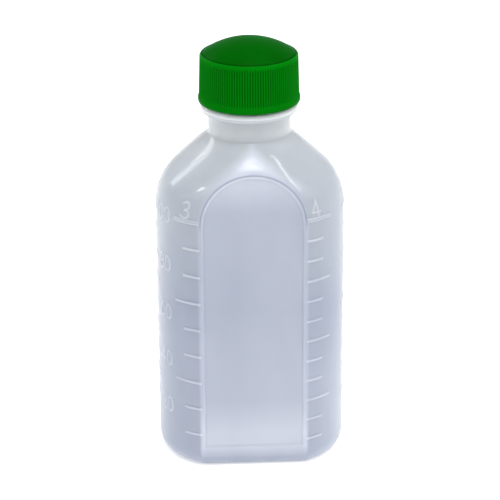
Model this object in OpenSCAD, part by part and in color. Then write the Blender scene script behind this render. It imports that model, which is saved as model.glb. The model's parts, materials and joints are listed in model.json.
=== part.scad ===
// Dispensing bottle for liquid medicine: a graduated, flat-sided bottle of
// translucent plastic, closed by a ribbed screw cap with a sealing liner.
// Millimetres, +Z up, origin at the centre of the base. The label panels face
// -Y and +Y, and the rounded sides face -X and +X.

/* [Body] */
// Width across the rounded sides
body_width = 49.4; // [47:0.2:53]
// Depth that the rounded section would have without its label panels
crown_depth = 41.6; // [40:0.2:43]
// Depth across the two label panels
panel_depth = 36.5; // [34:0.5:38]
// Squareness of the section: 2 is an ellipse, higher values are boxier
section_power = 2.3; // [2.1:0.05:2.6]
// Thickness of the blown wall
wall = 0.9; // [0.7:0.1:1.2]
// Depth of the shallow label recess in each panel
label_recess = 0.3; // [0.2:0.05:0.4]

/* [Base] */
// Height of the rounded heel at the sides
heel_height = 4.3; // [3:0.1:6]
// Height of the rounded heel below the label panels
panel_heel_height = 4.8; // [3:0.1:6]
// How far the heel turns in under the body
heel_inset = 3.2; // [2.5:0.1:4]
// Depth of the push-up inside the standing ring
push_up = 0.6; // [0.4:0.1:0.8]

/* [Shoulder] */
// Height at which the shoulder meets the neck
neck_foot = 88.4; // [86:0.2:91]
// Radius of the shoulder's curve, seen from the front
side_curve = 14; // [12:0.5:16]
// How far that curve turns from upright, in degrees
side_turn = 47; // [45:1:50]
// Radius of the shoulder's curve, seen from the side
front_curve = 12; // [10:0.5:13]
// How far that curve turns from upright, in degrees
front_turn = 62; // [58:1:64]

/* [Neck] */
// Outer radius of the plain neck
neck_radius = 10.7; // [10.4:0.05:10.8]
// Radius of the bore, from the mouth to the shoulder
bore_radius = 8.7; // [8.4:0.1:8.9]
// Radius of the support bead below the cap
bead_radius = 12.65; // [12.2:0.05:13]
// Height of the mouth's rim above the base
rim_height = 106.8; // [106.4:0.1:107]
// Radius of the threaded part, between its threads
finish_radius = 10.2; // [10.1:0.05:10.25]

/* [Thread] */
// Rise of the thread in one turn
thread_pitch = 3; // [2.8:0.1:3.2]
// Full turns of thread on the neck and in the cap
thread_turns = 1.5; // [1.25:0.25:1.5]
// Height of a thread above its wall
thread_depth = 1; // [0.9:0.05:1]
// Radial gap between a thread's crest and the other wall
thread_gap = 0.25; // [0.2:0.05:0.3]

/* [Cap] */
// Radius of the smooth hem at the cap's lower edge
hem_radius = 13.2; // [13.1:0.05:13.5]
// Radius over the ribs just above the hem
skirt_radius = 13; // [12.9:0.05:13.05]
// Radius over the ribs at the top of the skirt
skirt_top_radius = 12.7; // [12.6:0.05:12.8]
// Number of ribs round the skirt
rib_count = 120; // [100:5:140]
// Depth of the grooves between the ribs
rib_depth = 0.28; // [0.15:0.01:0.3]
// Height of the cap's lower edge above the base
cap_base = 97; // [96.6:0.1:97.4]
// Height of the crease between the skirt and the domed top
crease_height = 109.5; // [109.2:0.1:110]
// Rise of the domed top above the crease
dome_rise = 3.8; // [3:0.1:4.5]
// Depth of the groove between the dome and the rim round it
groove_depth = 0.35; // [0.2:0.05:0.4]

/* [Liner] */
// Radius of the sealing disc
liner_radius = 10.9; // [10.8:0.05:10.95]
// Thickness of the sealing disc
liner_thickness = 1.2; // [1:0.1:1.2]

/* [Graduations] */
// Height of the mark for nothing, above the base
scale_zero = 2.2; // [2:0.1:3]
// Height of the mark that all scales share at their top
scale_top = 69.8; // [66:0.2:70]
// Height of the marks above the bottle's surface
mark_relief = 0.2; // [0.15:0.05:0.3]
// Thickness of a mark, measured up the bottle
mark_line = 0.7; // [0.5:0.1:1]
// Doses on the left scale of each panel
left_doses = 9; // [6:3:9]
// Doses on the right scale of each panel
right_doses = 12; // [6:3:12]

/* [Hidden] */
$fn = 96;
half_width = body_width / 2;
half_crown = crown_depth / 2;
half_panel = panel_depth / 2;
section_steps = 64;
shoulder_steps = 22;
heel_steps = 6;
thread_steps = 40;            // steps of a thread's sweep in one turn
thread_root = 1.6;            // width of a thread at its wall
thread_crest = 0.7;           // width of a thread at its crest
thread_fade = 35;             // degrees over which a thread's ends run out
thread_start = 100.2;         // height of the neck thread's lower end
thread_play = 1.15;           // how far the cap's thread lies below the neck's
embed = 0.3;                  // how deep added relief reaches into its wall
bead_foot = 94.2;             // height of the bead's underside
bead_top = 96.6;              // height of the bead's upper face
floor_height = push_up + 1;   // height of the inner floor
liner_seat = rim_height + 0.02 + liner_thickness;
cap_bore = finish_radius + thread_depth + thread_gap;
hem_height = 1.2;
crease_radius = 12.1;
dome_wall = 1.5;
liner_ledge = 9.4;            // inner radius of the ledge that the liner seats on
panel_edge = half_width * pow(1 - pow(half_panel / half_crown, section_power), 1 / section_power);

// Point of the rounded section at angle t, which counts from +X towards +Y
function section_point(half_x, half_y, power, t) = [
    half_x * sign(cos(t)) * pow(abs(cos(t)), 2 / power),
    half_y * sign(sin(t)) * pow(abs(sin(t)), 2 / power)
];

// Half size at height z of a shoulder that curves in by an arc, then runs
// straight to the radius end_r at height end_z
function shoulder_half(half, arc_r, turn, end_r, end_z, z) =
    let (
        x_straight = half - arc_r * (1 - cos(turn)),
        z_straight = end_z - (x_straight - end_r) / tan(turn),
        z_arc = z_straight - arc_r * sin(turn)
    )
    z <= z_arc ? half :
    z < z_straight ? half - arc_r + sqrt(arc_r * arc_r - (z - z_arc) * (z - z_arc)) :
    max(end_r, x_straight - (z - z_straight) * tan(turn));

// Height at which such a shoulder starts to curve
function shoulder_start(half, arc_r, turn, end_r, end_z) =
    end_z - (half - arc_r * (1 - cos(turn)) - end_r) / tan(turn) - arc_r * sin(turn);

// Height at which a shoulder, offset inwards by skin, narrows to the radius r
function narrow_height(turn, skin, r) =
    neck_foot + (neck_radius - r - skin / cos(turn)) / tan(turn);

// Solid through a list of rings: each is [height, half x, half y, power]
module loft(rings) {
    n = section_steps;
    points = [for (r = rings, i = [0:n - 1]) concat(section_point(r[1], r[2], r[3], 360 * i / n), r[0])];
    sides = [for (k = [0:len(rings) - 2], i = [0:n - 1], half = [0, 1])
        let (a = k * n + i, b = k * n + (i + 1) % n)
        half == 0 ? [a, a + n, b + n] : [a, b + n, b]];
    last = (len(rings) - 1) * n;
    polyhedron(points, concat(sides, [[for (i = [0:n - 1]) i]], [[for (i = [n - 1:-1:0]) last + i]]));
}

// Rounded body from the height base up to the radius end_r, shrunk by skin on all sides
module rounded_body(skin, base, end_r) {
    foot_side = narrow_height(side_turn, skin, end_r);
    foot_front = narrow_height(front_turn, skin, end_r);
    heel = heel_height - base;
    inset = heel_inset - skin;
    half_x = half_width - skin;
    half_y = half_crown - skin;
    start = shoulder_start(half_x, side_curve - skin, side_turn, end_r, foot_side);
    top = max(foot_side, foot_front);
    heel_rings = [for (k = [0:heel_steps]) let (q = 90 * k / heel_steps, in = inset * (1 - sin(q)))
        [base + heel * (1 - cos(q)), half_x - in, half_y - in, section_power]];
    shoulder_rings = [for (k = [0:shoulder_steps])
        let (
            z = start + (top - start) * k / shoulder_steps,
            x = shoulder_half(half_x, side_curve - skin, side_turn, end_r, foot_side, z),
            y = shoulder_half(half_y, front_curve - skin, front_turn, end_r, foot_front, z),
            rounding = sqrt((half_x - x) / (half_x - end_r))
        )
        [z, x, y, section_power + (2 - section_power) * rounding]];
    loft(concat(heel_rings, shoulder_rings));
}

// Slab with the two flat panel faces and their rounded heels
module panel_slab(half_depth, base, heel, inset) {
    right = [for (q = [0:15:90]) [half_depth - inset * (1 - sin(q)), base + heel * (1 - cos(q))]];
    left = [for (k = [len(right) - 1:-1:0]) [-right[k][0], right[k][1]]];
    rotate([90, 0, 90])
        linear_extrude(2 * body_width, center = true)
            polygon(concat([[right[0][0], base - 1]], right,
                [[half_depth, rim_height], [-half_depth, rim_height]], left,
                [[left[len(left) - 1][0], base - 1]]));
}

// Arched label recess cut into the front panel
module label_cut() {
    rim = 0.6;
    bottom = panel_heel_height + 1;
    radius = panel_edge - rim;
    spring = scale_top - 1;
    translate([0, label_recess - half_panel, 0])
        rotate([90, 0, 0])
            linear_extrude(2 * label_recess) {
                translate([-radius, bottom]) square([2 * radius, spring - bottom]);
                translate([0, spring]) circle(radius);
            }
}

// Raised mark at height z that follows the section from angle a to angle b
module mark(z, a, b, line) {
    steps = 6;
    function place(t, lift) =
        let (
            p = section_point(half_width, half_crown, section_power, t),
            slope_x = sign(p[0]) * pow(abs(p[0]), section_power - 1) / pow(half_width, section_power),
            slope_y = sign(p[1]) * pow(abs(p[1]), section_power - 1) / pow(half_crown, section_power)
        )
        p + lift * [slope_x, slope_y] / norm([slope_x, slope_y]);
    angles = [for (k = [0:steps]) a + (b - a) * k / steps];
    outer = [for (t = angles) place(t, mark_relief)];
    inner = [for (k = [steps:-1:0]) place(angles[k], -embed)];
    translate([0, 0, z - line / 2])
        linear_extrude(line)
            polygon(concat(outer, inner));
}

// Section angle of a point on the front half, from its distance x or y to an axis
function angle_at_x(x) = acos(pow(x / half_width, section_power / 2));
function angle_at_y(y) = asin(pow(y / half_crown, section_power / 2));

// Dose marks beside the front panel: side is -1 for the left scale, 1 for the right
module dose_scale(doses, side) {
    inner_x = panel_edge + 0.1;
    long_x = 20.1;
    short_x = 18.1;
    for (k = [1:doses]) {
        outer_x = k % 3 == 0 ? long_x : short_x;
        line = k == doses ? 1.5 * mark_line : mark_line;
        z = scale_zero + (scale_top - scale_zero) * k / doses;
        from = side > 0 ? 360 - angle_at_x(inner_x) : 180 + angle_at_x(outer_x);
        to = side > 0 ? 360 - angle_at_x(outer_x) : 180 + angle_at_x(inner_x);
        mark(z, from, to, line);
    }
}

// Millilitre marks round the right side: one every tenth, every other one longer,
// and all from the same end except the topmost
module volume_scale() {
    major_y = 8;
    minor_y = 2.5;
    end_y = 5.3;
    top_end_y = 4.2;
    tenths = 10;
    for (k = [2:tenths]) {
        from_y = k % 2 == 0 ? major_y : minor_y;
        to_y = k == tenths ? top_end_y : end_y;
        z = scale_zero + (scale_top - scale_zero) * k / tenths;
        mark(z, -angle_at_y(from_y), angle_at_y(to_y), mark_line);
    }
}

// Thread of radius root_r that stands out by depth: inward threads pass -1 as side
module thread(root_r, depth, side, start_z) {
    steps = thread_steps * thread_turns;
    sweep = 360 * thread_turns;
    sunk = 0.15;                  // share of its height by which a thread's ends sink in
    function rise(t) = min(1, (1 + sunk) * min(t, sweep - t) / thread_fade - sunk);
    function rib(t) =
        let (
            z = start_z + thread_pitch * t / 360,
            crest = root_r + side * depth * rise(t),
            root = root_r - side * embed,
            w0 = thread_root / 2,
            w1 = thread_crest / 2
        )
        [[root, z - w0], [crest, z - w1], [crest, z + w1], [root, z + w0]];
    points = [for (k = [0:steps]) let (t = sweep * k / steps)
        for (p = rib(t)) [p[0] * cos(t), p[0] * sin(t), p[1]]];
    sides = [for (k = [0:steps - 1], i = [0:3], half = [0, 1])
        let (a = 4 * k + i, b = 4 * k + (i + 1) % 4)
        half == 0 ? [a, b, b + 4] : [a, b + 4, a + 4]];
    ends = [[3, 2, 1, 0], [for (i = [0:3]) 4 * steps + i]];
    faces = concat(sides, ends);
    polyhedron(points, side > 0 ? faces : [for (f = faces) [for (i = [len(f) - 1:-1:0]) f[i]]]);
}

// Neck with its support bead, as a full turned solid
module neck_blank() {
    rim_round = 0.4;
    bead_round = 0.9;
    below = [for (q = [0:15:90]) [
        bead_radius - bead_round * (1 - sin(q)), bead_foot + bead_round * (1 - cos(q))]];
    above = [for (q = [0:15:90]) [
        bead_radius - bead_round * (1 - cos(q)), bead_top - bead_round * (1 - sin(q))]];
    rim = [for (q = [0:30:90]) [
        finish_radius - rim_round * (1 - cos(q)), rim_height - rim_round * (1 - sin(q))]];
    rotate_extrude()
        polygon(concat(
            [[0, neck_foot - 1.2], [neck_radius, neck_foot - 1.2], [neck_radius, bead_foot]],
            below, above,
            [[finish_radius, bead_top]],
            rim, [[0, rim_height]]));
}

// Shallow hollow under the base, inside the standing ring
module base_hollow() {
    inset = heel_inset + 1.4;
    flat = half_panel - inset;
    outline = [for (i = [0:section_steps - 1])
        let (p = section_point(half_width - inset, half_crown - inset, section_power, 360 * i / section_steps))
        [p[0], max(-flat, min(flat, p[1]))]];
    translate([0, 0, -1]) linear_extrude(1 + push_up) polygon(outline);
}

module bottle() {
    color([0.80, 0.83, 0.87, 0.7])
        difference() {
            union() {
                intersection() {
                    rounded_body(0, 0, neck_radius - embed);
                    panel_slab(half_panel, 0, panel_heel_height, heel_inset);
                }
                neck_blank();
                thread(finish_radius, thread_depth, 1, thread_start);
                for (turn = [0, 180]) rotate(turn) {
                    dose_scale(left_doses, -1);
                    dose_scale(right_doses, 1);
                    volume_scale();
                }
            }
            intersection() {
                rounded_body(wall, floor_height, bore_radius - embed);
                panel_slab(half_panel - label_recess - wall, floor_height,
                    panel_heel_height - floor_height + wall, heel_inset - wall);
            }
            translate([0, 0, neck_foot - 1]) cylinder(h = rim_height, r = bore_radius);
            for (turn = [0, 180]) rotate(turn) label_cut();
            base_hollow();
        }
}

module liner() {
    edge = 0.2;
    color([0.93, 0.93, 0.90])
        translate([0, 0, rim_height + 0.02])
            rotate_extrude()
                polygon([[0, 0], [liner_radius - edge, 0], [liner_radius, edge],
                    [liner_radius, liner_thickness], [0, liner_thickness]]);
}

// Ribbed skirt: a solid whose outline alternates between crests and grooves
module ribbed_skirt() {
    n = 2 * rib_count;
    low = cap_base + hem_height / 2;
    high = crease_height - 0.55;
    function ring(z, crest) = [for (i = [0:n - 1])
        let (r = i % 2 == 0 ? crest : crest - rib_depth)
        [r * cos(360 * i / n), r * sin(360 * i / n), z]];
    sides = [for (i = [0:n - 1], half = [0, 1]) let (j = (i + 1) % n)
        half == 0 ? [i, i + n, j + n] : [i, j + n, j]];
    polyhedron(concat(ring(low, skirt_radius), ring(high, skirt_top_radius)),
        concat(sides, [[for (i = [0:n - 1]) i]], [[for (i = [n - 1:-1:0]) n + i]]));
}

// Half section of a dome from its rim at (radius, z) up to the axis
function dome_points(radius, z, rise) =
    let (ball = (radius * radius + rise * rise) / (2 * rise), reach = asin(radius / ball))
    [for (k = [12:-1:0]) let (q = reach * k / 12) [ball * sin(q), z + rise - ball * (1 - cos(q))]];

module cap() {
    top_band = skirt_top_radius + 0.05;
    core = skirt_top_radius - rib_depth - 0.1;
    color([0.0, 0.42, 0.08])
        union() {
            difference() {
                union() {
                    ribbed_skirt();
                    rotate_extrude()
                        polygon(concat(
                            [[0, cap_base], [hem_radius - 0.1, cap_base], [hem_radius, cap_base + 0.1],
                                [hem_radius, cap_base + hem_height - 0.1],
                                [hem_radius - 0.1, cap_base + hem_height],
                                [core, cap_base + hem_height], [core, crease_height - 0.7],
                                [top_band, crease_height - 0.7], [top_band, crease_height - 0.4],
                                [top_band - 0.1, crease_height - 0.15], [top_band - 0.3, crease_height],
                                [crease_radius + 0.25, crease_height - 0.05],
                                [crease_radius + 0.1, crease_height - groove_depth],
                                [crease_radius, crease_height - groove_depth]],
                            dome_points(crease_radius, crease_height, dome_rise)));
                }
                translate([0, 0, cap_base - 1])
                    cylinder(h = liner_seat - cap_base + 1, r = cap_bore);
                rotate_extrude()
                    polygon(concat([[0, liner_seat - 0.5], [liner_ledge, liner_seat - 0.5]],
                        dome_points(liner_ledge, crease_height + 0.3, dome_rise - dome_wall - 0.3)));
            }
            thread(cap_bore, thread_depth, -1, thread_start - thread_play);
            // bead that keeps the liner in the cap
            rotate_extrude()
                polygon([[cap_bore + embed, rim_height - 0.9], [cap_bore - 0.75, rim_height - 0.55],
                    [cap_bore - 0.75, rim_height - 0.35], [cap_bore + embed, rim_height - 0.15]]);
        }
}

bottle();
liner();
cap();
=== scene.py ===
"""Looks of a graduated, translucent dispensing bottle with a green screw cap.

The bottle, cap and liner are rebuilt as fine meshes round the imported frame. Sizes are in
millimetres unless a comment says metres, and in the frame's axes: +Z up, the label panels face
-Y and +Y.
"""

import json
import math

import bpy
import numpy as np
from mathutils import Matrix, Vector


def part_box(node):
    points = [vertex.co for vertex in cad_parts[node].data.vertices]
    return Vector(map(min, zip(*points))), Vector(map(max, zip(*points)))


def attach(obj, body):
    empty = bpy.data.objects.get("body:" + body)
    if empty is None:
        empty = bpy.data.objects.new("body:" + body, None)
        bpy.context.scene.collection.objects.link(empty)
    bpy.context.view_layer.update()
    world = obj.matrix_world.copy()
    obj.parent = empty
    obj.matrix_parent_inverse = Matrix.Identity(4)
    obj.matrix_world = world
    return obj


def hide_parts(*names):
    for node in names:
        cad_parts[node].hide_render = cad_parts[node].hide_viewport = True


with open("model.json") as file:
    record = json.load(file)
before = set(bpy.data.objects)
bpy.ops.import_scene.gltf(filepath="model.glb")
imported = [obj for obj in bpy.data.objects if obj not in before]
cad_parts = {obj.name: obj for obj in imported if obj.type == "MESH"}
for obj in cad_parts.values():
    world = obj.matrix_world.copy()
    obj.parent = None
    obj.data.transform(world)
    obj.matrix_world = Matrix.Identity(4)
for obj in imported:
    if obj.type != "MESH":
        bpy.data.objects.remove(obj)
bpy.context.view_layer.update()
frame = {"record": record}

MM = 0.001
LIGHT_DISTANCE = 0.9                        # metres from the bottle's shoulder to each light


def box_mm(node):
    """A CAD node's lowest and highest corners in millimetres."""
    low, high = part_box(node)
    return np.array(low) / MM, np.array(high) / MM


def mount_of(name):
    """The record's mount of that name."""
    return next(m for m in frame["record"]["mounts"] if m["name"] == name)


_, BOTTLE_HIGH = box_mm("bottle")
CAP_LOW, CAP_HIGH = box_mm("cap")
LINER_LOW, LINER_HIGH = box_mm("liner")

# Body
RELIEF = 0.2                                # height of the dose marks
SIDE_RELIEF = 0.13                          # height of the millilitre marks and all numerals
HALF_WIDTH = BOTTLE_HIGH[0] - RELIEF
HALF_CROWN = 20.8                           # half depth that the section has without its panels
HALF_PANEL = 18.25
POWER = 2.3                                 # squareness of the section: 2 is an ellipse
WALL = 0.9
RECESS = 0.3                                # depth of the label recess
RECESS_RIM = 0.6                            # from a panel's outline to its recess
RECESS_EDGE = 0.35                          # width of the recess's slanted edge
ARCH_SPRING = 68.8                          # height at which the panels' edges start to arch
CLIP_ROUND = 0.5                            # rounding where a panel meets the sides
HEEL_INSET = 3.2
HEEL_HEIGHT = 4.3
PANEL_HEEL_HEIGHT = 4.8
RECESS_FOOT = PANEL_HEEL_HEIGHT + 1
PANEL_NEAR, PANEL_BLEND = 0.4, 0.3          # where the skin starts to count as a panel
PUSH_UP = 0.6                               # height of the hollow under the base
FLOOR = PUSH_UP + 1.0                       # height of the inner floor

# Shoulder: an arc, then a straight slope to the neck, seen from the front and from the side
NECK_FOOT = 88.4
SIDE_CURVE, SIDE_TURN = 14.0, math.radians(47)
FRONT_CURVE, FRONT_TURN = 12.0, math.radians(62)
FOOT_FILLET = 0.6                           # where the shoulder meets the neck

# Neck
NECK = 10.7
BORE = mount_of("neck_bore")["dims"]["r_mm"]
BEAD = 12.65
BEAD_FOOT, BEAD_TOP, BEAD_ROUND = 94.2, 96.6, 0.9
BEAD_FILLET = 0.35                          # where the neck meets the bead's underside
FINISH = 10.2                               # radius that the thread stands on
RIM = BOTTLE_HIGH[2]
LIP_OUTSIDE, LIP_INSIDE = 0.4, 0.25         # rounding of the lip

# Thread
PITCH = 3.0
THREAD_TURNS = 1.5
THREAD_DEPTH = 1.0
THREAD_ROOT, THREAD_CREST = 1.6, 0.7
THREAD_START = 100.2
THREAD_PLAY = 1.15                          # how far the cap's thread lies below the neck's
THREAD_FADE = math.radians(35)

# Cap
CAP_BASE, CAP_TOP = CAP_LOW[2], CAP_HIGH[2]
HEM = CAP_HIGH[0]
HEM_HEIGHT = 1.2
SKIRT, SKIRT_TOP = 13.0, 12.7
RIBS = 120
RIB_DEPTH = 0.28
CREASE = 109.5
CREASE_RADIUS = 12.1
# The dome and the hem are made darker by painted shade
DOME_PAINTED_SHADE, HEM_PAINTED_SHADE = 0.26, 0.75          # 0 is the cap's darkest green, 1 its lightest
RIB_PAINTED_SHADE = 0.68                            # painted shade: how much darker the grooves between the ribs are
GROOVE = 0.35                               # depth of the groove between the dome and its rim
CAP_BORE = 11.45
LINER_SEAT = LINER_HIGH[2]
LINER_LEDGE = 9.4                           # inner radius of the ledge that the liner seats on

# Graduations
SCALE_ZERO, SCALE_TOP = 2.2, 69.8
MARK_LINE = 0.7
MARK_SLOPE = 0.2                            # width of a mark's slanted edge
MARK_STEPS = (-MARK_SLOPE, -MARK_SLOPE / 2, MARK_SLOPE / 2, MARK_SLOPE)  # mesh lines round an edge
LEFT_DOSES, RIGHT_DOSES = 9, 12
LONG_X, SHORT_X = 20.1, 18.1
STROKE = 0.55                               # width of a numeral's stroke

# Whiteness of the plastic, with painted light and shade: by height, then what marks, edges and the
# panel's top add to it
WHITE_BY_HEIGHT = ((0, 5, 17, 30, 45, 60, 86, 89), (0.28, 0.30, 0.30, 0.27, 0.22, 0.26, 0.26, 0.4))
LOW_ZONE, LOW_FADE, LOW_PAINTED_LIGHT = 10.0, 9.0, 0.18     # painted light on the panels above the base
SIDE_PAINTED_SHADE = 0.14                            # painted shade: how much less white the rounded sides are
GREY_TOP, GREY_FADE = 42.0, 36.0            # above this height the sides lose that over the fade
WARM_FOOT = 45.0                            # height at which the sides start to look more neutral
GABLE_TIP, GABLE_SLOPE, GABLE_PAINTED_HIGHLIGHT = 89.0, 1.45, 0.35    # painted highlight on the triangle between a panel's arch and the neck
GABLE_FOOT, GABLE_RISE, GABLE_FADE = ARCH_SPRING + 6, 12.0, 4.0
PANEL_TOP, PANEL_TOP_FADE, PANEL_TOP_WHITE = ARCH_SPRING + 3.5, 7.0, 0.2
# The marks are whiter: partly thicker, milkier plastic, partly painted light
MARK_WHITE_AND_PAINTED_LIGHT, TOP_MARK_GREY = 0.15, 0.9       # the top mark is nearly as grey as the skin
OUTLINE = 0.3                               # softness of a panel's outline
EDGE_PAINTED_LIGHT = 0.05                           # painted light line along a panel's straight sides
ARCH_BLEND, HEEL_BLEND = 4.0, 2.0           # over which the arch and the heel take over
# A painted light line just inside the arch, and a painted shadow line at its step
ARCH_PAINTED_LIGHT, ARCH_WHITE_AT, ARCH_WHITE_LINE = 0.08, 0.8, 0.2
ARCH_PAINTED_SHADE, ARCH_DARK_AT, ARCH_DARK_LINE = 0.35, 0.1, 0.14
BASE_WHITE, INSIDE_WHITE = 0.24, 0.4
# Whiteness of the neck and bead by height: a painted highlight line along the bead at 95.4, and
# painted light under the cap's hem
NECK_WHITE_AND_HIGHLIGHT = ((93.8, 94.3, 95.1, 95.4, 95.7, 96.2, 97), (0.44, 0.38, 0.38, 0.75, 0.5, 0.5, 0.5))

# Steps of the bottle's mesh
GIRTH_STEP, HEIGHT_STEP = 1.0, 2.2          # where nothing asks for a finer one
ARCH_STEP, ARCH_ZONE = 0.22, (66.5, 84.0)
SHOULDER_STEP = 0.5
FOOT_STEP, FOOT_ZONE = 0.25, (NECK_FOOT - 2.5, NECK_FOOT + 0.5)
NUMERAL_STEP, NUMERAL_MARGIN = 0.17, 0.4
RIM_STEP = 0.12                             # at the recess's edge
NECK_HEIGHTS = (90.2, 91.5, 92.8, 93.5)
THREAD_HEIGHTS = np.arange(98.8, 106.3, 0.2)
BORE_HEIGHTS = (105.5, 102, 98, 94, 91, 89.5)
SHARES = (0.02, 0.35, 0.7, 0.97)            # rings of a flat face, as shares of its size
CLEAR, CLOSEST = 0.06, 0.02                 # least gaps: before a knot, and between any two places


# ---------------------------------------------------------------- shape of the bottle

def ramp(x, width):
    """0 below zero, 1 above width, straight between them."""
    return np.clip(x / width, 0.0, 1.0)


def smooth_min(a, b, k):
    """The smaller of a and b, blended over a distance of about k."""
    h = np.clip(0.5 + 0.5 * (b - a) / k, 0.0, 1.0)
    return b * (1 - h) + a * h - k * h * (1 - h)


def section(half_x, half_y, power, t):
    """Point of the rounded section at angle t."""
    c, s = np.cos(t), np.sin(t)
    x = half_x * np.sign(c) * np.abs(c) ** (2 / power)
    y = half_y * np.sign(s) * np.abs(s) ** (2 / power)
    return x, y


def shoulder_half(half, arc_r, turn, skin, z):
    """Half size at height z of a shoulder that lies skin inside the outer one."""
    arc_r, half = arc_r - skin, half - skin
    x_straight = half - arc_r * (1 - math.cos(turn))
    z_straight = NECK_FOOT - (x_straight - NECK + skin / math.cos(turn)) / math.tan(turn)
    z_arc = z_straight - arc_r * math.sin(turn)
    if z <= z_arc:
        return half
    if z < z_straight:
        return half - arc_r + math.sqrt(arc_r ** 2 - (z - z_arc) ** 2)
    return x_straight - (z - z_straight) * math.tan(turn)


def heel_in(z, base, height, inset):
    """How far a rounded heel has turned in at height z."""
    q = math.acos(min(1.0, max(0.0, 1 - (z - base) / (height - base))))
    return inset * (1 - math.sin(q))


def body_ring(z, skin, base, neck):
    """Ring of the body at height z: half sizes, power and the panels' half depth."""
    x = shoulder_half(HALF_WIDTH, SIDE_CURVE, SIDE_TURN, skin, z)
    y = shoulder_half(HALF_CROWN, FRONT_CURVE, FRONT_TURN, skin, z)
    if skin == 0:                           # a fillet where the shoulder meets the neck
        x = -float(smooth_min(-x, -neck, FOOT_FILLET))
        y = -float(smooth_min(-y, -neck, FOOT_FILLET))
    x, y = max(x, neck), max(y, neck)
    rounding = math.sqrt(max(0.0, (HALF_WIDTH - skin - x) / (HALF_WIDTH - skin - neck)))
    power = POWER + (2 - POWER) * rounding
    side_in = heel_in(z, base, HEEL_HEIGHT, HEEL_INSET - skin)
    panel_in = heel_in(z, base, PANEL_HEEL_HEIGHT, HEEL_INSET - skin)
    panel = HALF_PANEL - skin - (RECESS if skin > 0 else 0)
    return dict(z=z, x=x - side_in, y=y - side_in, power=power, clip=panel - panel_in, scale=1.0)


def turned_ring(r, z):
    """Round ring, with the panels out of its reach."""
    return dict(z=z, x=r, y=r, power=2.0, clip=2 * r, scale=1.0)


def lattice(end, coarse, fine, knots=()):
    """Places from 0 to end: coarse steps, finer ones inside the ranges in fine, and the knots."""
    places, at = [0.0], 0.0
    while at < end - 1e-6:
        step = min([s for low, high, s in fine if low - 1e-9 <= at < high - 1e-9] + [coarse])
        starts = [low for low, high, s in fine if at + 1e-9 < low < at + step]
        at = min([at + step, end] + starts)
        places.append(at)
    knots = sorted(k for k in knots if 0 < k < end)
    kept = [p for p in places if p in (0.0, end) or all(abs(p - k) > CLEAR for k in knots)]
    merged = sorted(kept + knots)
    return np.array([p for i, p in enumerate(merged) if i == 0 or p - merged[i - 1] > CLOSEST])


# ---------------------------------------------------------------- places along the section

T_FINE = np.linspace(math.pi, 2 * math.pi, 20001)
X_FINE, Y_FINE = section(HALF_WIDTH, HALF_CROWN, POWER, T_FINE)
Y_FINE = np.maximum(Y_FINE, -HALF_PANEL)
U_FINE = np.concatenate([[0], np.cumsum(np.hypot(np.diff(X_FINE), np.diff(Y_FINE)))])
HALF_GIRTH = U_FINE[-1]
PANEL_EDGE = HALF_WIDTH * (1 - (HALF_PANEL / HALF_CROWN) ** POWER) ** (1 / POWER)


def along(x):
    """Distance along the front half of the section, from the -X side, of the point at x."""
    return float(np.interp(x, X_FINE, U_FINE))


# ---------------------------------------------------------------- numerals as strokes

def arc(cx, cy, rx, ry, start, stop, steps=14):
    """Points of an elliptical arc; angles in degrees, counted from +x towards +y."""
    a = np.radians(np.linspace(start, stop, steps))
    return list(zip(cx + rx * np.cos(a), cy + ry * np.sin(a)))


# Strokes of each digit in a cell 1 high, with its origin at the lower left
DIGIT_WIDTH = 0.6
DIGIT_PITCH = 0.8                           # from one digit to the next, in digit heights
DIGITS = {
    "0": [arc(0.3, 0.5, 0.3, 0.5, 0, 360, 28)],
    "1": [[(0.12, 0.78), (0.34, 1.0), (0.34, 0.0)]],
    "2": [arc(0.3, 0.72, 0.28, 0.28, 165, -35) + [(0.02, 0.0), (0.6, 0.0)]],
    "3": [arc(0.28, 0.76, 0.27, 0.24, 150, -90) + arc(0.28, 0.27, 0.31, 0.27, 90, -150)],
    "4": [[(0.6, 0.27), (0.0, 0.27), (0.42, 1.0), (0.42, 0.0)]],
    "6": [arc(0.3, 0.31, 0.29, 0.31, 0, 360, 24), arc(0.66, 0.31, 0.65, 0.69, 180, 112)],
    "8": [arc(0.3, 0.75, 0.25, 0.25, 0, 360, 22), arc(0.3, 0.26, 0.3, 0.26, 0, 360, 24)],
}


def stroke_distance(points, x, y):
    """Distance from each place to a stroke through the points."""
    best = np.full(x.shape, 9.0)
    for (ax, ay), (bx, by) in zip(points[:-1], points[1:]):
        dx, dy = bx - ax, by - ay
        along_it = np.clip(((x - ax) * dx + (y - ay) * dy) / (dx * dx + dy * dy + 1e-12), 0, 1)
        best = np.minimum(best, np.hypot(x - ax - along_it * dx, y - ay - along_it * dy))
    return best


def numeral(text, right_end, centre_z, height, u, z):
    """Share of full relief of a number whose last digit ends at right_end along the section."""
    lift = np.zeros(u.shape)
    low = centre_z - height / 2
    for place, digit in enumerate(reversed(text)):
        left = right_end - DIGIT_WIDTH * height - place * DIGIT_PITCH * height
        x, y = (u - left) / height, (z - low) / height
        near = (np.abs(x - DIGIT_WIDTH / 2) < DIGIT_WIDTH) & (np.abs(y - 0.5) < 0.8)
        if not near.any():
            continue
        gap = np.min([stroke_distance(s, x[near], y[near]) for s in DIGITS[digit]], axis=0)
        edge = STROKE / 2 + MARK_SLOPE / 2 - gap * height
        lift[near] = np.maximum(lift[near], ramp(edge, MARK_SLOPE))
    return lift


# ---------------------------------------------------------------- graduations

# Millilitre scale, in places along the section counted from the middle of a rounded side
VOLUME_MAJOR, VOLUME_MINOR, VOLUME_END, VOLUME_TOP_END = -8.2, -2.5, 5.4, 4.2
NUMERAL_END, NUMERAL_HEIGHT = 12.9, 3.9

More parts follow.
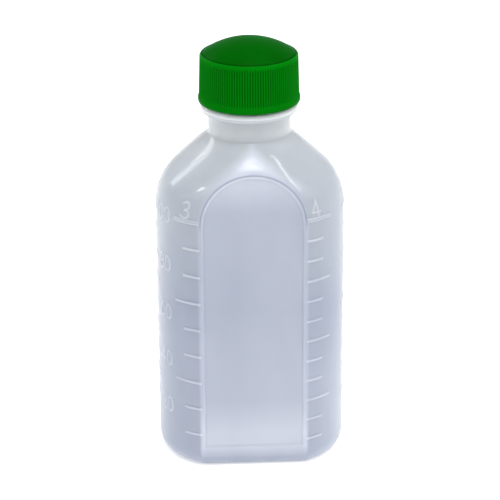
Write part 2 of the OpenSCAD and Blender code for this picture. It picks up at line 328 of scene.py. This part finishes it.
# Numerals above the dose scales
DOSE_DIGIT_HEIGHT = 4.2
DOSE_DIGIT_Z = SCALE_TOP + 2.9
LEFT_DIGIT_END, RIGHT_DIGIT_END = along(-16.7), along(17.5)


def level(share):
    """Height of a mark at that share of the scale."""
    return SCALE_ZERO + (SCALE_TOP - SCALE_ZERO) * share


def all_marks():
    """Every mark of one half: (height, start, stop, line, relief), places along the section."""
    marks = []
    inner = PANEL_EDGE + 0.1
    for doses, side in ((LEFT_DOSES, -1), (RIGHT_DOSES, 1)):
        for k in range(1, doses + 1):
            outer = LONG_X if k % 3 == 0 else SHORT_X
            ends = sorted((along(side * inner), along(side * outer)))
            line = 1.5 * MARK_LINE if k == doses else MARK_LINE
            marks.append((level(k / doses), ends[0], ends[1], line, RELIEF))
    for tenth in range(2, 11):
        start = VOLUME_MAJOR if tenth % 2 == 0 else VOLUME_MINOR
        stop = VOLUME_TOP_END if tenth == 10 else VOLUME_END
        marks.append((level(tenth / 10), start, stop, MARK_LINE, SIDE_RELIEF))
    return marks


MARKS = all_marks()
NUMERALS = [(str(20 * k), NUMERAL_END, level(k / 5), NUMERAL_HEIGHT) for k in range(1, 6)]
NUMERALS += [(str(LEFT_DOSES // 3), LEFT_DIGIT_END, DOSE_DIGIT_Z, DOSE_DIGIT_HEIGHT),
             (str(RIGHT_DOSES // 3), RIGHT_DIGIT_END, DOSE_DIGIT_Z, DOSE_DIGIT_HEIGHT)]


def relief_at(u, z):
    """Height of the graduations above the surface, for places on a half girth."""
    lift = np.zeros(u.shape)
    for shift in (0.0, HALF_GIRTH):
        place = u - shift
        for height, start, stop, line, relief in MARKS:
            near = np.abs(z - height) < line
            if not near.any():
                continue
            across = ramp(line / 2 + MARK_SLOPE / 2 - np.abs(z[near] - height), MARK_SLOPE)
            inside = np.minimum(place[near] - start, stop - place[near])
            lengthwise = ramp(inside + MARK_SLOPE / 2, MARK_SLOPE)
            lift[near] = np.maximum(lift[near], relief * np.minimum(across, lengthwise))
        for text, end, centre, height in NUMERALS:
            lift = np.maximum(lift, SIDE_RELIEF * numeral(text, end, centre, height, place, z))
    return lift


def inset_at(x, z):
    """Distance of a point of a panel from the panel's arched outline."""
    return PANEL_EDGE - np.where(z > ARCH_SPRING, np.hypot(x, z - ARCH_SPRING), np.abs(x))


def recess_at(x, z):
    """Share of the label recess's depth at a point of a panel."""
    side = inset_at(x, z) - RECESS_RIM
    return ramp(np.minimum(side, z - RECESS_FOOT), RECESS_EDGE)


def line_at(distance, half_line):
    """Strength of a soft line at a distance from its middle."""
    return np.exp(-(distance / half_line) ** 2)


def gable_highlight_at(x, z):
    """1 on the triangle between a panel's arch and the neck, where a highlight is painted, 0 round it.
    """
    sides = ramp(GABLE_SLOPE * (GABLE_TIP - z) - np.abs(x), GABLE_FADE)
    return sides * ramp(-inset_at(x, z), OUTLINE) * ramp(z - GABLE_FOOT, GABLE_RISE)


def warmth_at(x, z, on_panel):
    """How neutral rather than bluish the plastic looks: the shoulders are the most neutral."""
    return ramp(z - WARM_FOOT, NECK_FOOT - WARM_FOOT) * (1 - on_panel) * (1 - gable_highlight_at(x, z))


def whiteness_and_painted_light_at(x, z, lift, on_panel):
    """How white the plastic is made: it varies with height and is whiter on the raised marks, where it
    is thicker; on top of that are painted light, painted highlights and painted shade.
    """
    inset = inset_at(x, z)
    arched = ramp(z - ARCH_SPRING + ARCH_BLEND / 2, ARCH_BLEND)
    above_heel = ramp(z - PANEL_HEEL_HEIGHT + HEEL_BLEND / 2, HEEL_BLEND)
    # painted light on the panels just above the base
    low = above_heel * (1 - ramp(z - LOW_ZONE, LOW_FADE)) * on_panel
    panel_top = ramp(z - PANEL_TOP, PANEL_TOP_FADE) * ramp(inset, OUTLINE) * on_panel
    # painted shade on the rounded sides, fading out above GREY_TOP
    side = (1 - on_panel) * (1 - ramp(z - GREY_TOP, GREY_FADE))
    top_mark = line_at(z - SCALE_TOP, MARK_LINE / 2)
    # the raised marks come out whiter: thicker, milkier plastic, and partly painted light
    mark = ramp(lift, SIDE_RELIEF) * (1 - TOP_MARK_GREY * top_mark)
    white = np.interp(z, *WHITE_BY_HEIGHT) - SIDE_PAINTED_SHADE * side + LOW_PAINTED_LIGHT * low
    # the gable gets a painted highlight
    white = white + GABLE_PAINTED_HIGHLIGHT * gable_highlight_at(x, z) + PANEL_TOP_WHITE * panel_top + MARK_WHITE_AND_PAINTED_LIGHT * mark
    # painted light lines along the outline, and a painted shadow line along the arch
    lines = EDGE_PAINTED_LIGHT * line_at(inset, OUTLINE) * (1 - arched)
    lines = lines + ARCH_PAINTED_LIGHT * line_at(inset - ARCH_WHITE_AT, ARCH_WHITE_LINE) * arched
    lines = lines - ARCH_PAINTED_SHADE * line_at(inset - ARCH_DARK_AT, ARCH_DARK_LINE) * arched
    return white + lines * ramp(on_panel, 0.2)      # the outline's painted lines stay off the sides


# ---------------------------------------------------------------- threads

def thread_lift(theta, z, start):
    """Share of its full height that a thread has at an angle and a height."""
    sweep = 2 * math.pi * THREAD_TURNS
    lift = np.zeros(np.broadcast(theta, z).shape)
    for turn in range(math.ceil(THREAD_TURNS)):
        swept = np.mod(theta, 2 * math.pi) + 2 * math.pi * turn
        gap = np.abs(z - start - PITCH * swept / (2 * math.pi))
        flank = (THREAD_ROOT - THREAD_CREST) / 2
        profile = ramp(THREAD_ROOT / 2 - gap, flank)
        fade = ramp(np.minimum(swept, sweep - swept), THREAD_FADE)
        lift = np.maximum(lift, profile * fade)
    return lift


# ---------------------------------------------------------------- meshes

def grid_piece(name, points, attributes=None):
    """A closed mesh through rings of points; the first and last ring close on one point each.

    Each attribute holds one number for each point, which the piece's material reads by name.
    """
    rows, columns = points.shape[:2]
    vertices = points.reshape(-1, 3)
    k, i = np.meshgrid(np.arange(rows - 1), np.arange(columns), indexing="ij")
    a = k * columns + i
    b = k * columns + (i + 1) % columns
    quads = np.stack([a, b, b + columns, a + columns], axis=-1).reshape(-1, 4)
    poles = [points[0].mean(axis=0), points[-1].mean(axis=0)]
    first_pole = len(vertices)
    vertices = np.concatenate([vertices, poles])
    ring = np.arange(columns)
    low = np.stack([np.full(columns, first_pole), (ring + 1) % columns, ring], axis=-1)
    last = (rows - 1) * columns
    high = np.stack([np.full(columns, first_pole + 1), last + ring, last + (ring + 1) % columns],
                    axis=-1)
    loops = np.concatenate([quads.ravel(), low.ravel(), high.ravel()])
    sizes = np.concatenate([np.full(len(quads), 4), np.full(len(low) + len(high), 3)])
    mesh = bpy.data.meshes.new(name)
    mesh.vertices.add(len(vertices))
    mesh.vertices.foreach_set("co", (vertices * MM).ravel())
    mesh.loops.add(len(loops))
    mesh.loops.foreach_set("vertex_index", loops)
    mesh.polygons.add(len(sizes))
    mesh.polygons.foreach_set("loop_start", np.concatenate([[0], np.cumsum(sizes)[:-1]]))
    mesh.polygons.foreach_set("loop_total", sizes)
    mesh.update(calc_edges=True)
    mesh.validate()
    mesh.shade_smooth()
    for key, grid in (attributes or {}).items():
        values = np.concatenate([grid.ravel(), [grid[0, 0], grid[-1, 0]]])
        mesh.attributes.new(key, "FLOAT", "POINT").data.foreach_set("value", values)
    piece = bpy.data.objects.new(name, mesh)
    bpy.context.scene.collection.objects.link(piece)
    return piece


def grid_normals(points):
    """Unit normals of a grid of points that closes round its columns."""
    across = np.roll(points, -1, axis=1) - np.roll(points, 1, axis=1)
    up = np.gradient(points, axis=0)
    normal = np.cross(across, up)
    return normal / (np.linalg.norm(normal, axis=-1, keepdims=True) + 1e-12)


def bottle_columns():
    """Angles of the bottle's columns, and each one's place along its half of the section."""
    fine, knots = [], []
    for text, end, _, height in NUMERALS:
        width = (DIGIT_WIDTH + DIGIT_PITCH * (len(text) - 1)) * height
        fine.append((end - width - NUMERAL_MARGIN, end + NUMERAL_MARGIN, NUMERAL_STEP))
    fine.append((along(-PANEL_EDGE - 0.8), along(PANEL_EDGE + 0.8), ARCH_STEP))
    for side in (-1, 1):
        edge = along(side * (PANEL_EDGE - RECESS_RIM))
        fine.append((edge - 0.5, edge + 0.5, RIM_STEP))
    for mark in MARKS:
        for end in (mark[1], mark[2]):
            for shift in (0, HALF_GIRTH):
                knots += [end + shift + step for step in MARK_STEPS]
    u = lattice(HALF_GIRTH, GIRTH_STEP, fine, sorted(set(np.round(knots, 4))))[:-1]
    t = np.interp(u, U_FINE, T_FINE)
    return np.concatenate([t, t + math.pi]), np.concatenate([u, u])


def quarter(r, z, out, up, count, level_first=False):
    """Points of a quarter round in the corner (r, z), with its centre at (r + out, z + up).

    It starts upright and ends level, or the other way round.
    """
    q = np.radians(np.linspace(0, 90, count))
    ways = (1 - np.sin(q), 1 - np.cos(q)) if level_first else (1 - np.cos(q), 1 - np.sin(q))
    return list(zip(r + out * ways[0], z + up * ways[1]))


def base_rings():
    """Rings of the underside: the hollow, then the standing ring round it."""
    edge = body_ring(0, 0, 0, NECK)
    rings = [dict(edge, z=PUSH_UP, scale=share * 0.93) for share in SHARES]
    for inset, z in ((1.45, PUSH_UP), (1.25, PUSH_UP - 0.08), (1.15, 0.15), (1.0, 0.03), (0.8, 0.0)):
        rings.append(dict(edge, z=z, x=edge["x"] - inset, y=edge["y"] - inset,
                          clip=edge["clip"] - inset))
    return rings


def outer_rings():
    """Rings of the outside, from the heel to just above the neck's foot."""
    heel = [PANEL_HEEL_HEIGHT * (1 - math.cos(q)) for q in np.radians(np.linspace(0, 90, 13))]
    fine = [(*ARCH_ZONE, ARCH_STEP), (ARCH_ZONE[1], FOOT_ZONE[0], SHOULDER_STEP),
            (*FOOT_ZONE, FOOT_STEP)]
    knots = [RECESS_FOOT, RECESS_FOOT + RECESS_EDGE, SCALE_TOP]
    for height, _, _, line, _ in MARKS:
        knots += [height + side * (line / 2 + step) for side in (-1, 1) for step in MARK_STEPS]
    for _, _, centre, height in NUMERALS:
        half = height / 2 + NUMERAL_MARGIN
        fine.append((centre - half, centre + half, NUMERAL_STEP))
    rise = lattice(NECK_FOOT + 1.0, HEIGHT_STEP, fine, sorted(set(np.round(knots, 4))))
    wall = [z for z in rise if z > PANEL_HEEL_HEIGHT + 0.1]
    return [body_ring(z, 0, 0, NECK) for z in heel + wall]


def neck_rings():
    """Rings of the neck and its support bead, up to the finish."""
    profile = [(NECK, z) for z in NECK_HEIGHTS]
    profile += quarter(NECK, BEAD_FOOT, BEAD_FILLET, -BEAD_FILLET, 7)
    profile += quarter(BEAD, BEAD_FOOT, -BEAD_ROUND, BEAD_ROUND, 13, level_first=True)
    profile.append((BEAD, (BEAD_FOOT + BEAD_TOP) / 2))
    profile += quarter(BEAD, BEAD_TOP, -BEAD_ROUND, -BEAD_ROUND, 13)
    profile += [(FINISH + 0.4, BEAD_TOP), (FINISH + 0.1, BEAD_TOP + 0.05), (FINISH, BEAD_TOP + 0.2),
                (FINISH, BEAD_TOP + 1.1)]
    return [turned_ring(r, z) for r, z in profile]


def inner_rings():
    """Rings of the lip, the bore and the inside, down to the middle of the inner floor."""
    profile = quarter(FINISH, RIM, -LIP_OUTSIDE, -LIP_OUTSIDE, 7)
    profile += quarter(BORE, RIM, LIP_INSIDE, -LIP_INSIDE, 5, level_first=True)
    profile += [(BORE, z) for z in BORE_HEIGHTS]
    heights = list(np.arange(NECK_FOOT + 0.4, 66, -1.2))
    heights += list(np.arange(64, PANEL_HEEL_HEIGHT, -4.0))
    for q in np.radians(np.linspace(90, 0, 10)):
        heights.append(FLOOR + (PANEL_HEEL_HEIGHT - FLOOR) * (1 - math.cos(q)))
    inside = [body_ring(z, WALL, FLOOR, BORE) for z in heights]
    floor = [dict(inside[-1], scale=share) for share in reversed(SHARES)]
    return [turned_ring(r, z) for r, z in profile] + inside + floor


def ring_points(rings, t):
    """Grid of points of the rings at the angles t."""
    rows = []
    for ring in rings:
        x, y = section(ring["x"], ring["y"], ring["power"], t)
        y = np.sign(y) * smooth_min(np.abs(y), ring["clip"], CLIP_ROUND)
        height = np.full(t.shape, ring["z"])
        rows.append(np.stack([x * ring["scale"], y * ring["scale"], height], axis=-1))
    return np.array(rows)


def make_bottle():
    """The bottle: blown body, neck, bead, thread, graduations and label recesses in one piece."""
    t, u = bottle_columns()
    base, neck, inner = base_rings(), neck_rings(), inner_rings()
    finish = [turned_ring(FINISH, z) for z in THREAD_HEIGHTS]
    skin = ring_points(outer_rings(), t)
    heights = skin[..., 2]
    places = np.broadcast_to(u, heights.shape)
    on_panel = ramp(np.abs(skin[..., 1]) - (HALF_PANEL - PANEL_NEAR), PANEL_BLEND)
    lift = relief_at(places, heights)
    white = whiteness_and_painted_light_at(skin[..., 0], heights, lift, on_panel)
    lift = lift - RECESS * recess_at(skin[..., 0], heights) * on_panel
    skin = skin + grid_normals(skin) * lift[..., None]
    threaded = ring_points(finish, t)
    theta = np.arctan2(threaded[..., 1], threaded[..., 0])
    reach = FINISH + THREAD_DEPTH * thread_lift(theta, threaded[..., 2], THREAD_START)
    threaded[..., :2] *= (reach / FINISH)[..., None]
    points = np.concatenate([ring_points(base, t), skin, ring_points(neck, t), threaded,
                             ring_points(inner, t)])
    warm = warmth_at(skin[..., 0], heights, on_panel)
    collar = np.array([ring["z"] for ring in neck + finish])[:, None]

    def whole(base_value, skin_values, neck_values, inner_value):
        """One value for each point: even on the base and inside, given on the skin and the neck."""
        return np.concatenate([np.full((len(base), len(t)), base_value), skin_values,
                               np.broadcast_to(neck_values, (len(collar), len(t))),
                               np.full((len(inner), len(t)), inner_value)])

    # the shade attribute carries the whiteness with its painted light and shade
    return grid_piece("bottle_body", points, {
        "shade": whole(BASE_WHITE, white, np.interp(collar, *NECK_WHITE_AND_HIGHLIGHT), INSIDE_WHITE),
        "warmth": whole(0.0, warm, 1.0, 0.0)})


def turned_points(profile, angles):
    """Grid of points of a profile of (radius, height) pairs turned round the axis."""
    r = np.array([p[0] for p in profile])[:, None]
    z = np.array([p[1] for p in profile])[:, None]
    return np.stack([r * np.cos(angles), r * np.sin(angles), z + 0 * angles], axis=-1)


def dome(radius, z, rise, steps):
    """Profile of a dome from its rim to near the axis."""
    ball = (radius ** 2 + rise ** 2) / (2 * rise)
    reach = math.asin(radius / ball)
    spread = [reach * (1 - k / steps) for k in range(steps)] + [reach * 0.01]
    return [(ball * math.sin(q), z + rise - ball * (1 - math.cos(q))) for q in spread]


def make_cap():
    """The cap: ribbed skirt, hem, domed top, and inside it the thread and the liner's seat."""
    per_rib = 6
    angles = np.linspace(0, 2 * math.pi, RIBS * per_rib, endpoint=False)
    outer_dome = dome(CREASE_RADIUS, CREASE, CAP_TOP - CREASE, 22)[::-1]
    groove = [(CREASE_RADIUS, CREASE - 0.15), (CREASE_RADIUS + 0.02, CREASE - GROOVE),
              (CREASE_RADIUS + 0.1, CREASE - GROOVE), (CREASE_RADIUS + 0.2, CREASE - 0.12)]
    shoulder = quarter(SKIRT_TOP - 0.15, CREASE, -0.34, -0.42, 8, level_first=True)
    top_z, low_z = CREASE - 0.5, CAP_BASE + HEM_HEIGHT
    skirt_steps = 12
    skirt = [(SKIRT_TOP + (SKIRT - SKIRT_TOP) * share, top_z + (low_z + 0.02 - top_z) * share)
             for share in np.linspace(0, 1, skirt_steps + 1)]
    hem = [(SKIRT + 0.02, low_z), (HEM - 0.06, low_z - 0.03), (HEM, low_z - 0.12),
           (HEM, CAP_BASE + 0.6), (HEM, CAP_BASE + 0.15), (HEM - 0.05, CAP_BASE + 0.04),
           (HEM - 0.15, CAP_BASE), (CAP_BORE + 0.35, CAP_BASE), (CAP_BORE + 0.12, CAP_BASE + 0.08),
           (CAP_BORE, CAP_BASE + 0.35)]
    threaded = [(CAP_BORE, z) for z in np.arange(97.9, 104.9, 0.15)]
    keeper = [(CAP_BORE, RIM - 1.1), (CAP_BORE - 0.1, RIM - 0.85), (CAP_BORE - 0.72, RIM - 0.55),
              (CAP_BORE - 0.72, RIM - 0.35), (CAP_BORE - 0.1, RIM - 0.15), (CAP_BORE, RIM)]
    seat = [(CAP_BORE, LINER_SEAT - 0.1), (CAP_BORE - 0.1, LINER_SEAT + 0.02),
            (LINER_LEDGE + 0.1, LINER_SEAT + 0.02), (LINER_LEDGE, LINER_SEAT + 0.15),
            (LINER_LEDGE, CREASE + 0.2)]
    inner_dome = dome(LINER_LEDGE - 0.1, CREASE + 0.3, CAP_TOP - CREASE - 1.8, 14)
    profiles = dict(dome=outer_dome, groove=groove, shoulder=shoulder, skirt=skirt, hem=hem,
                    threaded=threaded, top=keeper + seat + inner_dome)
    grids = {name: turned_points(profile, angles) for name, profile in profiles.items()}
    shades = {name: np.ones(grid.shape[:2]) for name, grid in grids.items()}
    # painted shade on the dome and the hem
    shades["dome"][:-1] = DOME_PAINTED_SHADE
    shades["dome"][-1] = 0.0                # painted shade in the crease
    # painted shade in the groove
    shades["groove"][:3] = 0.0
    shades["hem"][:] = HEM_PAINTED_SHADE
    z = grids["skirt"][..., 2]
    across_rib = (0.5 - 0.5 * np.cos(RIBS * angles)) ** 1.5
    deep = ramp(top_z - 0.05 - z, 0.35) * ramp(z - low_z, 0.1) * across_rib
    grids["skirt"][..., :2] *= (1 - RIB_DEPTH * deep / SKIRT)[..., None]
    # painted shade in the grooves between the ribs
    shades["skirt"] -= RIB_PAINTED_SHADE * deep
    inside = grids["threaded"]
    theta = np.arctan2(inside[..., 1], inside[..., 0])
    lift = thread_lift(theta, inside[..., 2], THREAD_START - THREAD_PLAY)
    inside[..., :2] *= (1 - THREAD_DEPTH * lift / CAP_BORE)[..., None]
    points, shade_values = (np.concatenate(list(g.values()))[::-1] for g in (grids, shades))
    return grid_piece("screw_cap", points, {"shade": shade_values})


def make_liner():
    """The sealing disc, with softly rounded edges."""
    radius = LINER_HIGH[0]
    low, high = LINER_LOW[2], LINER_HIGH[2]
    edge = 0.22
    spokes = (0.1, 3, 6, 9)
    profile = [(r, low) for r in spokes]
    profile += quarter(radius, low, -edge, edge, 6, level_first=True)
    profile += quarter(radius, high, -edge / 2, -edge / 2, 5)
    profile += [(r, high) for r in reversed(spokes)]
    angles = np.linspace(0, 2 * math.pi, 128, endpoint=False)
    return grid_piece("cap_liner", turned_points(profile, angles))


# ---------------------------------------------------------------- materials

MIX_FIRST, MIX_SECOND, MIX_RESULT = 6, 7, 2  # a Mix node's sockets for colours


def new_material(name):
    """An empty node material with its Principled shader."""
    material = bpy.data.materials.new(name)
    material.use_nodes = True
    tree = material.node_tree
    shader = tree.nodes["Principled BSDF"]
    return material, tree, shader


def noise(tree, scale, detail, stretch=(1, 1, 1)):
    """Noise over the object's own coordinates."""
    coordinates = tree.nodes.new("ShaderNodeTexCoord")
    mapping = tree.nodes.new("ShaderNodeMapping")
    mapping.inputs["Scale"].default_value = stretch
    texture = tree.nodes.new("ShaderNodeTexNoise")
    texture.inputs["Scale"].default_value = scale
    texture.inputs["Detail"].default_value = detail
    tree.links.new(coordinates.outputs["Object"], mapping.inputs["Vector"])
    tree.links.new(mapping.outputs["Vector"], texture.inputs["Vector"])
    return texture.outputs["Fac"]


def spread(tree, value, low, high):
    """A value from noise, whose middle part is stretched to the range low to high."""
    node = tree.nodes.new("ShaderNodeMapRange")
    node.inputs["From Min"].default_value = 0.3
    node.inputs["From Max"].default_value = 0.7
    node.inputs["To Min"].default_value = low
    node.inputs["To Max"].default_value = high
    tree.links.new(value, node.inputs["Value"])
    return node.outputs["Result"]


def tint(tree, value, low, high):
    """A colour between low and high by value."""
    node = tree.nodes.new("ShaderNodeMix")
    node.data_type = "RGBA"
    node.inputs[MIX_FIRST].default_value = (*low, 1)
    node.inputs[MIX_SECOND].default_value = (*high, 1)
    tree.links.new(value, node.inputs["Factor"])
    return node.outputs[MIX_RESULT]


def blend_colours(tree, value, first, second):
    """A colour between two colour sockets by value."""
    node = tree.nodes.new("ShaderNodeMix")
    node.data_type = "RGBA"
    tree.links.new(value, node.inputs["Factor"])
    tree.links.new(first, node.inputs[MIX_FIRST])
    tree.links.new(second, node.inputs[MIX_SECOND])
    return node.outputs[MIX_RESULT]


def own(tree, name):
    """The piece's own attribute of that name."""
    attribute = tree.nodes.new("ShaderNodeAttribute")
    attribute.attribute_name = name
    return attribute.outputs["Fac"]


def shade(tree, cloud, amount):
    """The piece's own shade attribute, which holds its tone with painted light and shade, made uneven
    by a noise value.
    """
    total = tree.nodes.new("ShaderNodeMath")
    total.operation = "ADD"
    total.use_clamp = True
    tree.links.new(own(tree, "shade"), total.inputs[0])
    tree.links.new(spread(tree, cloud, -amount, amount), total.inputs[1])
    return total.outputs[0]


def bump(tree, shader, value, height, strength):
    """Fine relief of that height in metres on the shader."""
    node = tree.nodes.new("ShaderNodeBump")
    node.inputs["Distance"].default_value = height
    node.inputs["Strength"].default_value = strength
    tree.links.new(value, node.inputs["Height"])
    tree.links.new(node.outputs["Normal"], shader.inputs["Normal"])


def bottle_plastic():
    """Milky, translucent natural polypropylene with a soft gloss."""
    material, tree, shader = new_material("bottle_plastic")
    cloud = noise(tree, 60, 3, (1, 1, 0.35))
    # whiteness with its painted light and shade, from the piece's own attribute
    white = shade(tree, cloud, 0.045)
    bluish = tint(tree, white, (0.285, 0.325, 0.42), (0.89, 0.915, 0.99))
    neutral = tint(tree, white, (0.27, 0.312, 0.36), (0.93, 0.95, 0.95))
    colour = blend_colours(tree, own(tree, "warmth"), bluish, neutral)
    tree.links.new(colour, shader.inputs["Base Color"])
    grain = noise(tree, 900, 2)
    tree.links.new(spread(tree, grain, 0.38, 0.46), shader.inputs["Roughness"])
    bump(tree, shader, noise(tree, 260, 2, (1, 1, 0.4)), 0.00001, 0.1)
    shader.inputs["IOR"].default_value = 1.49
    shader.inputs["Transmission Weight"].default_value = 0.15
    shader.inputs["Subsurface Weight"].default_value = 1.0
    shader.inputs["Subsurface Radius"].default_value = (1.0, 1.0, 1.0)
    shader.inputs["Subsurface Scale"].default_value = 0.0015
    shader.inputs["Specular IOR Level"].default_value = 0.15
    shader.inputs["Coat Weight"].default_value = 0.4
    shader.inputs["Coat Roughness"].default_value = 0.12
    shader.inputs["Coat IOR"].default_value = 1.5
    return material


def cap_plastic():
    """Green moulded plastic with a half gloss."""
    material, tree, shader = new_material("cap_plastic")
    cloud = noise(tree, 180, 3)
    # green tone with painted shade, from the piece's own attribute
    colour = tint(tree, shade(tree, cloud, 0.05), (0.0, 0.05, 0.0), (0.0, 0.165, 0.002))
    tree.links.new(colour, shader.inputs["Base Color"])
    grain = noise(tree, 1500, 2)
    tree.links.new(spread(tree, grain, 0.32, 0.42), shader.inputs["Roughness"])
    bump(tree, shader, noise(tree, 2500, 2), 0.00002, 0.1)
    shader.inputs["Specular IOR Level"].default_value = 0.01
    shader.inputs["Sheen Weight"].default_value = 0.12
    shader.inputs["Sheen Roughness"].default_value = 0.3
    shader.inputs["Sheen Tint"].default_value = (0.0, 0.6, 0.25, 1)
    return material


def liner_foam():
    """White foamed sheet with a fine closed-cell grain."""
    material, tree, shader = new_material("liner_foam")
    cells = noise(tree, 3500, 3)
    colour = tint(tree, spread(tree, cells, 0, 1), (0.80, 0.80, 0.76), (0.88, 0.88, 0.85))
    tree.links.new(colour, shader.inputs["Base Color"])
    tree.links.new(spread(tree, cells, 0.5, 0.7), shader.inputs["Roughness"])
    bump(tree, shader, cells, 0.0001, 0.35)
    return material


# ---------------------------------------------------------------- stage

def look_at(thing, place, target, roll):
    """Puts a camera at place, facing target and turned by roll."""
    direction = Vector(target) - Vector(place)
    turn = direction.to_track_quat("-Z", "Y").to_matrix().to_4x4()
    thing.matrix_world = Matrix.Translation(place) @ turn @ Matrix.Rotation(roll, 4, "Z")


def add_camera():
    """The camera, looking down on the front from slightly left of it."""
    elevation, azimuth, roll = math.radians(22.1), math.radians(-2.8), math.radians(-0.33)
    distance = 0.599                        # metres
    target = Vector((0.0, 0.0, 0.0549))     # metres
    place = target + distance * Vector((math.sin(azimuth) * math.cos(elevation),
                                        -math.cos(azimuth) * math.cos(elevation), math.sin(elevation)))
    camera = bpy.data.objects.new("camera", bpy.data.cameras.new("camera"))
    camera.data.sensor_width = 36
    camera.data.lens = 162.7
    camera.data.clip_start = 0.01
    look_at(camera, place, target, roll)
    bpy.context.scene.collection.objects.link(camera)
    bpy.context.scene.camera = camera


def add_light(name, start, stop, width, power):
    """A soft strip light, width metres wide, between two directions seen from the shoulder."""
    target = Vector((0, 0, NECK_FOOT * MM))
    ends = [target + LIGHT_DISTANCE * Vector(way).normalized() for way in (start, stop)]
    place = (ends[0] + ends[1]) / 2
    backward = (place - target).normalized()
    across = backward.cross(ends[1] - ends[0]).normalized()
    lengthwise = across.cross(backward)
    data = bpy.data.lights.new(name, "AREA")
    data.shape = "RECTANGLE"
    data.size, data.size_y = (ends[1] - ends[0]).length, width
    data.energy = power
    light = bpy.data.objects.new(name, data)
    turn = Matrix((lengthwise, across, backward)).transposed().to_4x4()
    light.matrix_world = Matrix.Translation(place) @ turn
    bpy.context.scene.collection.objects.link(light)


def add_floor():
    """A plain pale floor that reaches out of view."""
    mesh = bpy.data.meshes.new("floor")
    reach = 4.0                             # metres
    mesh.from_pydata([(-reach, -reach, 0), (reach, -reach, 0), (reach, reach, 0), (-reach, reach, 0)],
                     [], [(0, 1, 2, 3)])
    floor = bpy.data.objects.new("floor", mesh)
    bpy.context.scene.collection.objects.link(floor)
    material, _, shader = new_material("floor_paint")
    shader.inputs["Base Color"].default_value = (0.92, 0.92, 0.92, 1)
    shader.inputs["Roughness"].default_value = 0.9
    shader.inputs["Emission Color"].default_value = (1, 1, 1, 1)
    shader.inputs["Emission Strength"].default_value = 0.38
    mesh.materials.append(material)


def add_world():
    """Even white surroundings."""
    world = bpy.data.worlds.new("studio")
    world.use_nodes = True
    background = world.node_tree.nodes["Background"]
    background.inputs["Color"].default_value = (1, 1, 1, 1)
    background.inputs["Strength"].default_value = 0.52
    bpy.context.scene.world = world


# ---------------------------------------------------------------- the scene

def put(piece, body, node, material):
    """Gives a piece its material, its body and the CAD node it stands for."""
    piece.data.materials.append(material)
    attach(piece, body)
    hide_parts(node)


put(make_bottle(), "bottle", "bottle", bottle_plastic())
put(make_liner(), "liner", "liner", liner_foam())
put(make_cap(), "cap", "cap", cap_plastic())

add_camera()
add_floor()
add_world()
add_light("overhead_wide", (-0.26, -0.40, 0.86), (0.26, -0.40, 0.86), 0.30, 3.2)
add_light("overhead_narrow", (0, 0.15, 0.98), (0, -0.35, 0.94), 0.18, 1.9)
add_light("left_rear", (-0.52, 0.58, 0.62), (-0.80, 0.56, 0.20), 0.18, 1.6)
add_light("left_front", (-0.82, -0.29, 0.50), (-0.88, -0.29, 0.36), 0.06, 1.0)
add_light("right_front", (0.34, 0.27, 0.90), (0.80, -0.54, 0.26), 0.05, 2.8)

view = bpy.context.scene.view_settings
view.view_transform = "Standard"
view.look = "None"
